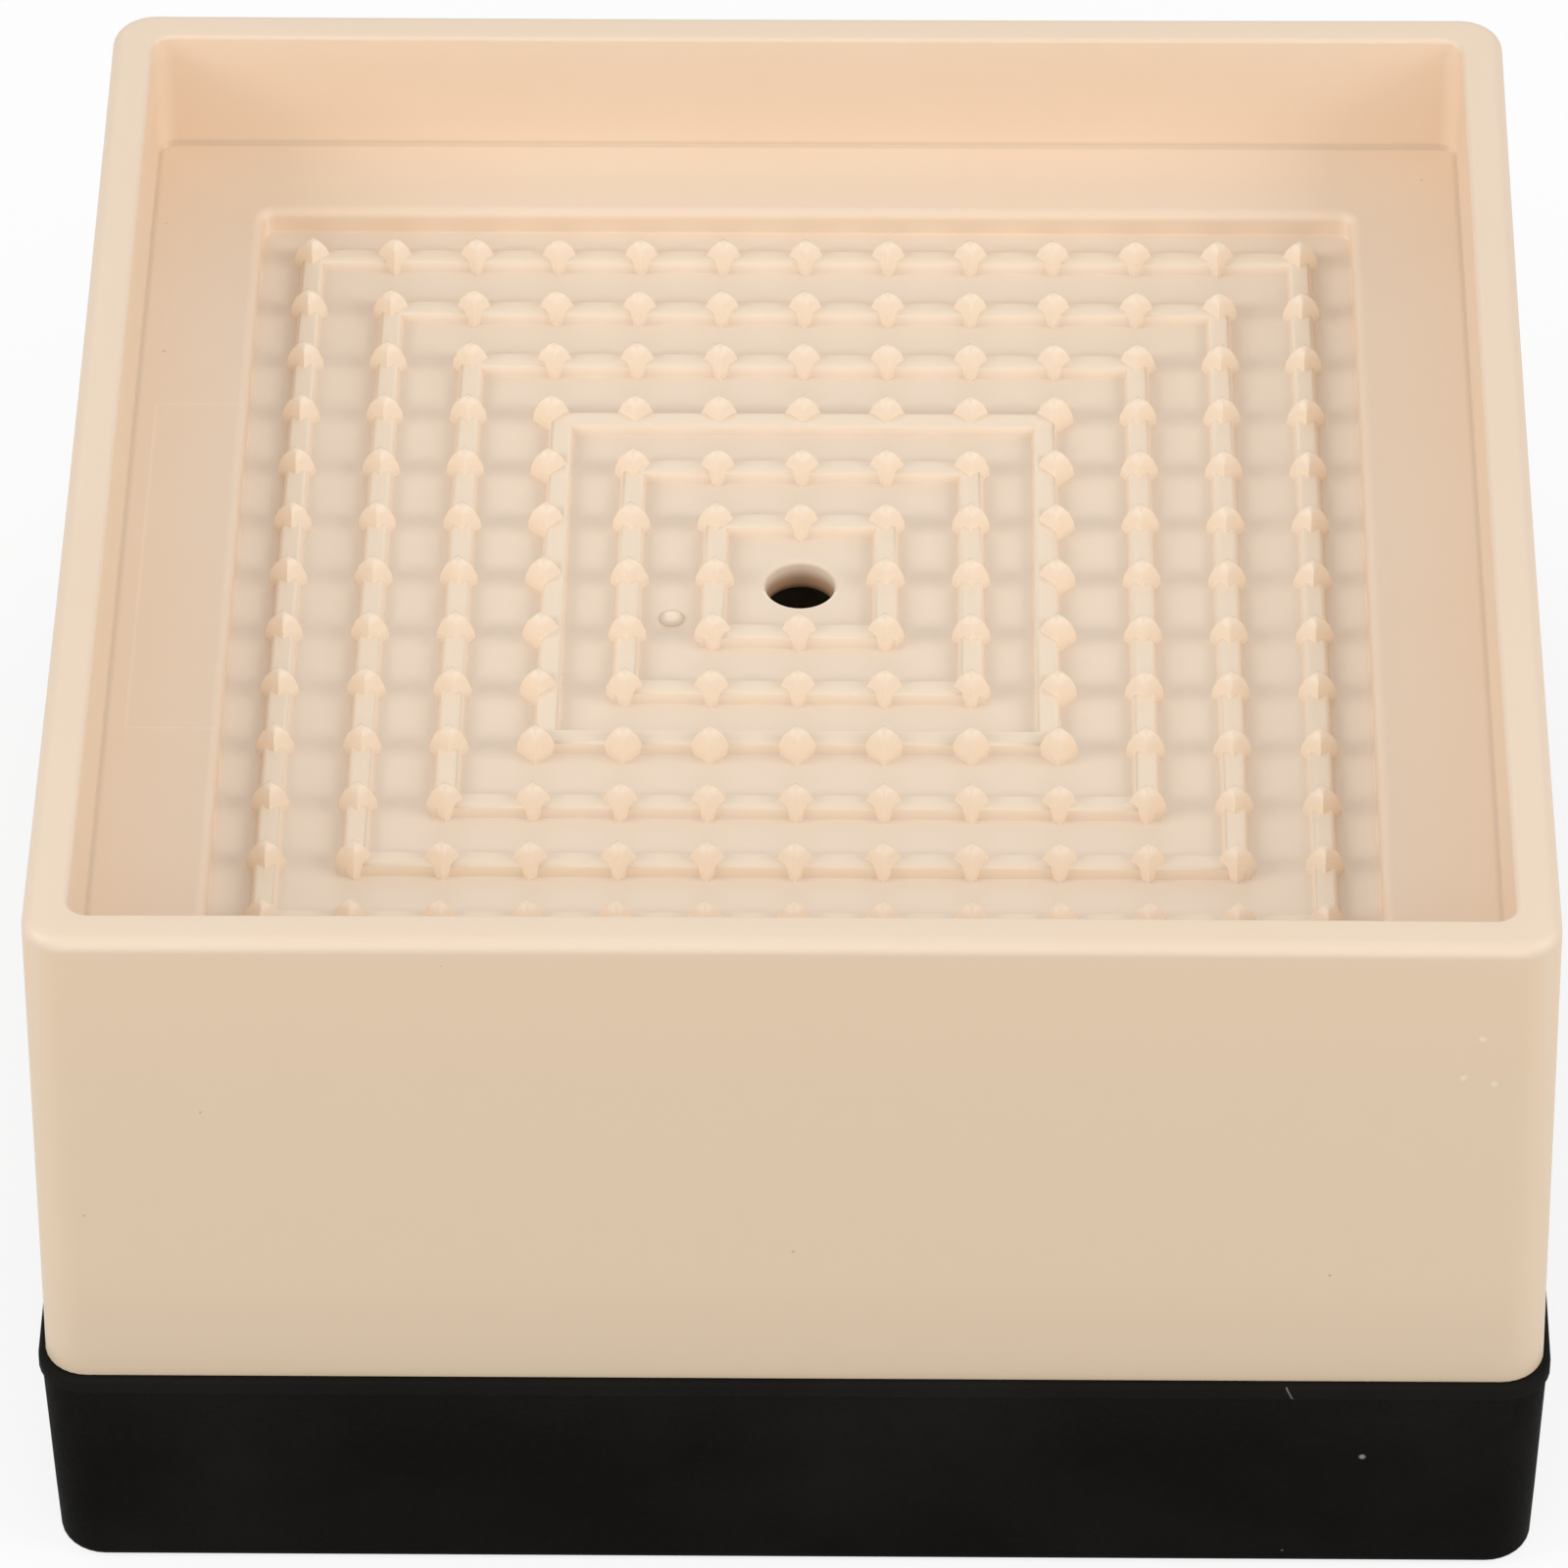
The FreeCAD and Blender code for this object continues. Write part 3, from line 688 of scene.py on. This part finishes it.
def deck_stiffeners(s):
    """Two bars each way under the deck, let into the deck above and the walls at their ends."""
    bite = 0.75 * MM
    top = floor_level(s) - s.deck / 2
    reach = s.top_width / 2 - s.wall + bite
    size = Matrix.Diagonal((2 * reach, s.stiffener, top - s.sole, 1.0))
    mesh = bmesh.new()
    for turn in (0, math.pi / 2):
        for side in (-1, 1):
            place = Matrix.Translation((0.0, side * s.stiffener_spacing / 2, (top + s.sole) / 2))
            turned = Matrix.Rotation(turn, 4, "Z")
            bmesh.ops.create_cube(mesh, size=1.0, matrix=turned @ place @ size)
    return object_from_bmesh("deck_stiffeners", mesh)


class RISER_OT_body(bpy.types.Operator):
    """Build the moulded body: rim, ledge, grip floor, hole, and hollow underside with its bars"""
    bl_idname = "riser.body"
    bl_label = "Moulded body"

    def execute(self, context):
        scene = context.scene
        sizes = scene.riser_body
        body = mesh_from_rings("body_moulding", body_rings(sizes), closed=True)
        material = moulded_plastic(scene.riser_colours, sizes, scene.riser_grip)
        finish_piece(body, material, BODY_NODE, BODY_NODE)
        finish_piece(deck_stiffeners(sizes), material, BODY_NODE)
        return {"FINISHED"}


# The grip floor

# How finely the studs and the ribs' roundings are made.
STUD_POINTS = 16
STUD_RINGS = 4
RIB_ROUND_POINTS = 4

# How deep the studs and the ribs are let into the floor.
STUD_ROOT = 0.2 * MM
RIB_ROOT = 0.7 * MM

# How much a stud's points crowd towards its corners, and how full its sides are: less is fuller.
STUD_CROWDING = 0.12
STUD_SWELL = 0.56


def grip_inputs(tree, s):
    """Gives the tree its named sizes, each with its default."""
    sizes = {
        "Pitch": s.pitch, "Stud width": s.stud_width, "Stud height": s.stud_height,
        "Stud fullness": s.stud_fullness, "Stud dome": s.stud_dome, "Rib foot": s.rib_foot,
        "Rib crest": s.rib_crest, "Rib height": s.rib_height, "Ring offset": s.ring_offset,
        "Rib rounding": s.rib_round, "Stud root": STUD_ROOT, "Rib root": RIB_ROOT,
        "Floor level": 0.0,
    }
    for name, default in sizes.items():
        socket = tree.interface.new_socket(name, in_out="INPUT", socket_type="NodeSocketFloat")
        socket.default_value = default
    count = tree.interface.new_socket("Studs per side", in_out="INPUT", socket_type="NodeSocketInt")
    count.default_value = s.per_side


def grip_stud(nodes, given):
    """A cone whose rings are swelled into a dome and drawn into diamonds with corners on the ribs."""
    cone = nodes.add("GeometryNodeMeshCone", {"fill_type": "NGON"},
                     {"Vertices": STUD_POINTS, "Side Segments": STUD_RINGS, "Fill Segments": 1,
                      "Radius Top": 0.0, "Radius Bottom": 1.0, "Depth": 1.0}).out("Mesh")
    position = nodes.add("GeometryNodeInputPosition").out("Position")
    split = nodes.add("ShaderNodeSeparateXYZ", None, {0: position})
    across, forward, rise = split.out("X"), split.out("Y"), split.out("Z")

    # The points of a ring crowd towards the diamond's corners, to round those.
    angle = forward.math("ARCTAN2", across)
    angle = angle - (angle * 4).math("SINE") * STUD_CROWDING

    # The rings start below the floor and lie closer together towards the tip.
    height, depth = given.out("Stud height"), given.out("Stud root")
    lifted = (rise * (math.pi / 2)).math("SINE").math("MINIMUM", 1.0)
    level = lifted * (height + depth) - depth
    share = (level / height).math("MAXIMUM", 0.0)
    swell = (1 - share ** given.out("Stud dome")).math("MAXIMUM", 0.0) ** STUD_SWELL

    cosine, sine = angle.math("COSINE"), angle.math("SINE")
    fullness = given.out("Stud fullness")
    diamond = (abs(cosine) ** fullness + abs(sine) ** fullness) ** (1 / fullness)
    reach = swell * given.out("Stud width") * 0.5 / diamond
    place = nodes.add("ShaderNodeCombineXYZ", None, {"X": cosine * reach, "Y": sine * reach, "Z": level})
    return nodes.add("GeometryNodeSetPosition", None,
                     {"Geometry": cone, "Position": place.out("Vector")}).out("Geometry")


def grip_studs(nodes, given):
    """The grid of studs, without the one over the hole."""
    pitch, per_side = given.out("Pitch"), given.out("Studs per side")
    span = (per_side - 1) * pitch
    grid = nodes.add("GeometryNodeMeshGrid", None,
                     {"Size X": span, "Size Y": span, "Vertices X": per_side,
                      "Vertices Y": per_side}).out("Mesh")
    here = nodes.add("GeometryNodeInputPosition").out("Position")
    distance = nodes.add("ShaderNodeVectorMath", {"operation": "LENGTH"}, {0: here}).out("Value")
    middle = nodes.add("FunctionNodeCompare", {"operation": "LESS_THAN"},
                       {"A": distance, "B": pitch * 0.5}).out("Result")
    points = nodes.add("GeometryNodeDeleteGeometry", {"domain": "POINT"},
                       {"Geometry": grid, "Selection": middle}).out("Geometry")
    return nodes.add("GeometryNodeInstanceOnPoints", None,
                     {"Points": points, "Instance": grip_stud(nodes, given)}).out("Instances")


def grip_ribs(nodes, given, s):
    """Square ring ribs through the rows of studs, one of them a little inside its row."""
    squares = []
    ring_count = (s.per_side - 1) // 2
    for ring in range(1, ring_count + 1):
        line = given.out("Pitch") * ring
        if ring_count + 1 - ring == s.offset_ring:
            line = line - given.out("Ring offset")
        side = line * 2
        square = nodes.add("GeometryNodeCurvePrimitiveQuadrilateral", {"mode": "RECTANGLE"},
                           {"Width": side, "Height": side}).out("Curve")
        squares.append(square)

    # The section lies upside down, as the rings carry its Y axis downwards, and is made wider
    # than the rib, because it stands across the corners of the rings.
    foot, crest, height = given.out("Rib foot"), given.out("Rib crest"), given.out("Rib height")
    depth = given.out("Rib root")
    slant = math.sqrt(2)
    base = foot + (foot - crest) * depth / height
    section = nodes.add("GeometryNodeCurvePrimitiveQuadrilateral", {"mode": "TRAPEZOID"},
                        {"Height": height + depth, "Bottom Width": crest * slant,
                         "Top Width": base * slant, "Offset": 0.0}).out("Curve")
    lift = nodes.add("ShaderNodeCombineXYZ", None, {"Y": (depth - height) / 2}).out("Vector")
    section = nodes.add("GeometryNodeSetPosition", None,
                        {"Geometry": section, "Offset": lift}).out("Geometry")
    section = nodes.add("GeometryNodeFilletCurve", {"mode": "POLY"},
                        {"Curve": section, "Count": RIB_ROUND_POINTS,
                         "Radius": given.out("Rib rounding")}).out("Curve")
    return nodes.add("GeometryNodeCurveToMesh", None,
                     {"Curve": nodes.join(*squares), "Profile Curve": section}).out("Mesh")


def grip_tree(s, material):
    """Studs on a grid and square ribs through them, as one node tree."""
    tree = bpy.data.node_groups.new("grip_pattern", "GeometryNodeTree")
    tree.interface.new_socket("Geometry", in_out="OUTPUT", socket_type="NodeSocketGeometry")
    grip_inputs(tree, s)
    nodes = Nodes(tree)
    given = nodes.add("NodeGroupInput")
    pattern = nodes.join(grip_ribs(nodes, given, s), grip_studs(nodes, given))
    raised = nodes.add("ShaderNodeCombineXYZ", None, {"Z": given.out("Floor level")}).out("Vector")
    moved = nodes.add("GeometryNodeTransform", None,
                      {"Geometry": pattern, "Translation": raised}).out("Geometry")
    real = nodes.add("GeometryNodeRealizeInstances", None, {"Geometry": moved}).out("Geometry")
    coated = nodes.add("GeometryNodeSetMaterial", None,
                       {"Geometry": real, "Material": material}).out("Geometry")
    result = nodes.add("NodeGroupOutput")
    connect(nodes, coated, result.node.inputs[0])
    return tree


def grip_pattern(s, material, level):
    """The tree's studs and ribs as a plain mesh at the grip floor's level."""
    piece = bpy.data.objects.new("grip_studs", bpy.data.meshes.new("grip_studs"))
    bpy.context.scene.collection.objects.link(piece)
    modifier = piece.modifiers.new("grip", "NODES")
    modifier.node_group = grip_tree(s, material)
    level_socket = modifier.node_group.interface.items_tree["Floor level"]
    modifier[level_socket.identifier] = level
    evaluated = piece.evaluated_get(bpy.context.evaluated_depsgraph_get())
    data = bpy.data.meshes.new_from_object(evaluated)
    piece.modifiers.clear()
    piece.data = data
    data.shade_smooth()
    data.set_sharp_from_angle(angle=SHARP_STUD_EDGE)
    return piece


def gate_rings(s, floor):
    """A shallow round mark with a soft edge and a slightly sunk middle."""
    radius, height = s.gate_width / 2, s.gate_height
    centre = (-s.gate_left, -s.gate_forward)
    # Shares of the radius and of the height, from below the floor over the edge to the middle.
    shape = [
        (1.0, -0.4), (1.0, 0.3), (0.93, 0.75), (0.8, 1.0),
        (0.64, 0.95), (0.5, 0.6), (0.3, 0.45),
    ]
    return [circle_ring(radius * share, floor + height * rise, centre) for share, rise in shape]


class RISER_OT_grip(bpy.types.Operator):
    """Build the studs and ring ribs of the grip floor"""
    bl_idname = "riser.grip"
    bl_label = "Grip studs and ribs"

    def execute(self, context):
        sizes = context.scene.riser_grip
        level = floor_level(context.scene.riser_body)
        material = bpy.data.materials[MOULDING]
        finish_piece(grip_pattern(sizes, material, level), material, BODY_NODE)
        gate = mesh_from_rings("gate_mark", gate_rings(sizes, level), closed=False)
        finish_piece(gate, material, BODY_NODE)
        return {"FINISHED"}


# The foot


def foot_rings(s):
    """The foot's surface, from the middle of the tread round the outside and down the cavity."""
    rings = []

    def square(half, level, corner):
        rings.append(square_ring(half, max(corner, SMALLEST_CORNER), level))

    # Tread and rounded lower edge.
    groove_corner = 0.3 * MM
    for count in range(s.groove_count):
        line = s.groove_first + count * s.groove_pitch
        for side, depth in ((-1, 0.0), (-1, 1.0), (1, 1.0), (1, 0.0)):
            square(line + side * s.groove / 2, depth * s.groove_depth, groove_corner)
    base = s.base_width / 2
    for half, level in arc(base - s.base_round, s.base_round, s.base_round, -90, 0, 6):
        square(half, level, s.corner - (base - half))

    # Outer wall, the crease under the lip, and the lip.
    top = s.top_width / 2
    lip = s.lip_width / 2
    lip_low = s.height - s.lip_height
    crease = 0.1 * MM
    for rise in (0.33, 0.66):
        square(base + (top - base) * rise, lip_low * rise, s.corner)
    square(top, lip_low - crease, s.corner)
    square(top + 0.3 * (lip - top), lip_low, s.corner)
    square(lip - crease, lip_low + 0.3 * crease, s.corner)
    square(lip, lip_low + 1.5 * crease, s.corner)
    for half, level in arc(lip - s.lip_round, s.height - s.lip_round, s.lip_round, 0, 90, 5):
        square(half, level, s.corner - (lip - half))

    cavity = lip - s.wall
    square(cavity, s.height, s.corner)
    square(cavity, s.sole, s.corner)
    return rings


class RISER_OT_foot(bpy.types.Operator):
    """Build the black rubber foot with its lip and grooved tread"""
    bl_idname = "riser.foot"
    bl_label = "Rubber foot"

    def execute(self, context):
        scene = context.scene
        sizes = scene.riser_foot
        foot = mesh_from_rings("foot_moulding", foot_rings(sizes), closed=False)
        finish_piece(foot, black_rubber(scene.riser_colours, sizes), FOOT_NODE, FOOT_NODE)
        return {"FINISHED"}


# The stage

# Near the middle of the part, where every lamp points.
LAMP_TARGET = Vector((0.0, 0.0, 0.03))


def area_lamp(name, place, size, power):
    """A rectangular lamp, its place, width and height in metres, turned to the part."""
    data = bpy.data.lights.new(name, "AREA")
    data.shape = "RECTANGLE"
    data.size, data.size_y = size
    data.energy = power
    lamp = bpy.data.objects.new(name, data)
    bpy.context.scene.collection.objects.link(lamp)
    lamp.location = place
    lamp.rotation_euler = (LAMP_TARGET - lamp.location).to_track_quat("-Z", "Y").to_euler()


def seen_directly(nodes):
    """1 for rays from the camera and for those that show the scene in gloss or glass."""
    path = nodes.add("ShaderNodeLightPath")
    seen = path.out("Is Camera Ray").math("MAXIMUM", path.out("Is Glossy Ray"))
    return seen.math("MAXIMUM", path.out("Is Transmission Ray"))


def stage_floor(s):
    """A floor that looks nearly white, shows the part's shadow and throws back less light."""
    below_foot = 0.02 * MM
    half_width = 4.0
    plane = bmesh.new()
    bmesh.ops.create_grid(plane, x_segments=1, y_segments=1, size=half_width)
    bmesh.ops.translate(plane, verts=plane.verts, vec=(0.0, 0.0, -below_foot))
    floor = object_from_bmesh("floor", plane)
    material, nodes, surface = new_material("pale_floor")
    seen = seen_directly(nodes)
    lit_share = 0.2
    glow_share = 1 - lit_share
    shown = nodes.mix(seen, tuple(s.bounce), (lit_share,) * 3)
    connect(nodes, shown, surface.inputs["Base Color"])
    glow = nodes.mix(seen, (0.0, 0.0, 0.0), (glow_share,) * 3)
    connect(nodes, glow, surface.inputs["Emission Color"])
    surface.inputs["Emission Strength"].default_value = 1.0
    surface.inputs["Roughness"].default_value = 0.9
    surface.inputs["Specular IOR Level"].default_value = 0.1
    floor.data.materials.append(material)
    return floor


def even_light(s):
    """A world that is white where it is seen, and lights the part more softly."""
    world = bpy.data.worlds.new("even_light")
    world.use_nodes = True
    nodes = Nodes(world.node_tree)
    background = world.node_tree.nodes["Background"]
    background.inputs["Color"].default_value = (1.0, 1.0, 1.0, 1.0)
    strength = seen_directly(nodes) * (1 - s.ambient) + s.ambient
    connect(nodes, strength, background.inputs["Strength"])
    return world


def camera_at_photo():
    """The photograph's viewpoint: 41 degrees down, almost square on to the front."""
    elevation, yaw, roll = math.radians(41.393), math.radians(1.005), math.radians(-0.413)
    target = Vector((-1.148, -4.023, 30.0)) * MM
    distance = 691.132 * MM
    # The focal length and the view's width, both in pixels of the photograph.
    focal_pixels, view_pixels = 5049.082, 800
    forward = Vector((-math.sin(yaw) * math.cos(elevation), math.cos(yaw) * math.cos(elevation),
                      -math.sin(elevation)))
    level_right = Vector((math.cos(yaw), math.sin(yaw), 0))
    level_up = level_right.cross(forward)
    right = math.cos(roll) * level_right + math.sin(roll) * level_up
    up = math.cos(roll) * level_up - math.sin(roll) * level_right
    data = bpy.data.cameras.new("camera")
    data.sensor_width = 36.0
    data.lens = focal_pixels / view_pixels * data.sensor_width
    data.clip_start, data.clip_end = 0.05, 20.0
    camera = bpy.data.objects.new("camera", data)
    bpy.context.scene.collection.objects.link(camera)
    turn = Matrix((right, up, -forward)).transposed().to_4x4()
    camera.matrix_world = Matrix.Translation(target - forward * distance) @ turn
    return camera


class RISER_OT_stage(bpy.types.Operator):
    """Set out the floor, the lamps, the even light and the camera"""
    bl_idname = "riser.stage"
    bl_label = "Stage, lamps and camera"

    def execute(self, context):
        scene = context.scene
        s = scene.riser_stage
        stage_floor(s)
        scene.world = even_light(s)
        for side in (-1, 1):
            area_lamp("side_lamp", (side * 0.74, -0.2, 0.5), (0.45, 0.4), s.side_light)
        area_lamp("low_lamp", (0.0, -0.88, 0.22), (0.8, 0.3), s.low_light)
        area_lamp("front_lamp", (0.0, -0.8, 0.62), (0.8, 0.6), s.front_light)
        area_lamp("back_lamp", (0.0, 0.85, 0.42), (0.8, 0.3), s.back_light)
        scene.camera = camera_at_photo()
        scene.view_settings.view_transform = "Standard"
        return {"FINISHED"}


# The add-on


class RISER_PT_panel(bpy.types.Panel):
    """Sizes, colours and build steps of the bed riser"""
    bl_idname = "RISER_PT_panel"
    bl_label = "Bed riser"
    bl_space_type = "VIEW_3D"
    bl_region_type = "UI"
    bl_category = "Bed riser"

    def draw(self, context):
        for operator in OPERATORS:
            self.layout.operator(operator.bl_idname)
        for name in SETTINGS:
            box = self.layout.box()
            group = getattr(context.scene, name)
            for key in group.bl_rna.properties.keys():
                if key not in ("rna_type", "name"):
                    box.prop(group, key)


SETTINGS = {
    "riser_body": RiserBodySizes,
    "riser_grip": GripSizes,
    "riser_foot": FootSizes,
    "riser_colours": RiserColours,
    "riser_stage": StageSettings,
}
OPERATORS = (RISER_OT_body, RISER_OT_grip, RISER_OT_foot, RISER_OT_stage)
CLASSES = (*SETTINGS.values(), *OPERATORS, RISER_PT_panel)


def register():
    for group in CLASSES:
        bpy.utils.register_class(group)
    for name, group in SETTINGS.items():
        setattr(bpy.types.Scene, name, PointerProperty(type=group))


def unregister():
    for name in SETTINGS:
        delattr(bpy.types.Scene, name)
    for group in reversed(CLASSES):
        bpy.utils.unregister_class(group)


def main():
    register()
    bpy.ops.riser.body()
    bpy.ops.riser.grip()
    bpy.ops.riser.foot()
    bpy.ops.riser.stage()


if __name__ == "__main__":
    main()
